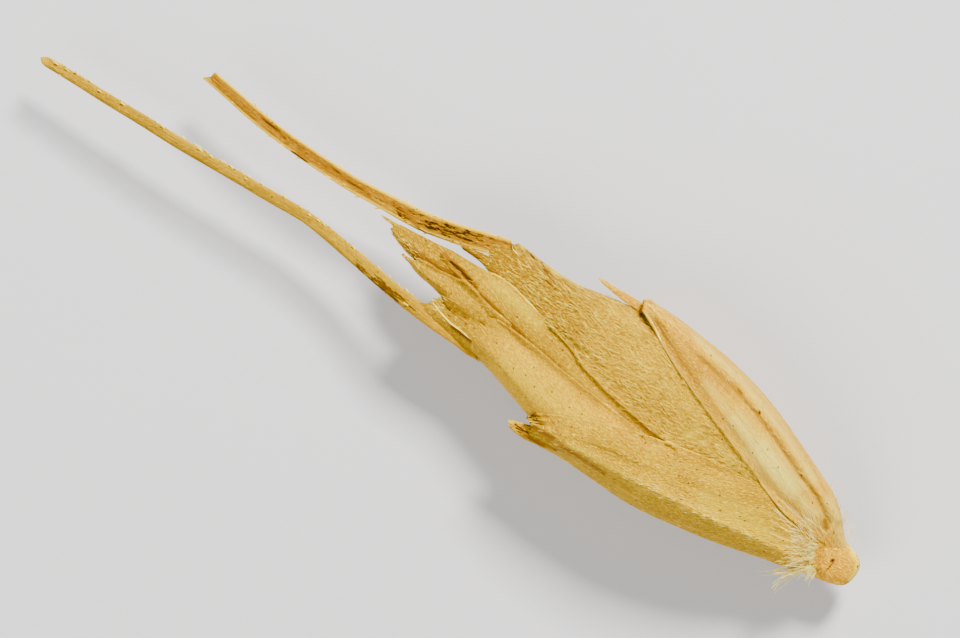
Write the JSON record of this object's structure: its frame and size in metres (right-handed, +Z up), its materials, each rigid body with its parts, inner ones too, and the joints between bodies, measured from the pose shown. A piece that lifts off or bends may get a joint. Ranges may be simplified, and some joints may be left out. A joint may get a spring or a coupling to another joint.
{
  "type": "wheat spikelet",
  "caption": "Dry awned wheat spikelet lying on its broad side: keeled glumes clasping awned florets with grains inside, on a stub of stalk.",
  "frame": {"origin": "on the resting surface, below the middle of the spikelet's outline", "axes": "+Y from the stalk stub towards the awn tips, +X across the broad side towards the upper glume, +Z up from the surface"},
  "size_m": [0.0094, 0.0472, 0.0058],
  "materials": {
    "glume": "dry straw, faint lengthwise veins",
    "lemma": "dry straw, downy",
    "palea": "thin dry chaff",
    "grain": "amber, smooth",
    "stalk": "dry straw, hairy at the edges"
  },
  "bodies": {
    "root": {"rachis": "stalk", "lower_glume": "glume", "upper_glume": "glume", "first_lemma": "lemma", "second_lemma": "lemma", "third_lemma": "lemma", "fourth_lemma": "lemma", "first_palea": "palea", "second_palea": "palea", "first_grain": "grain", "second_grain": "grain"}
  },
  "joints": []
}
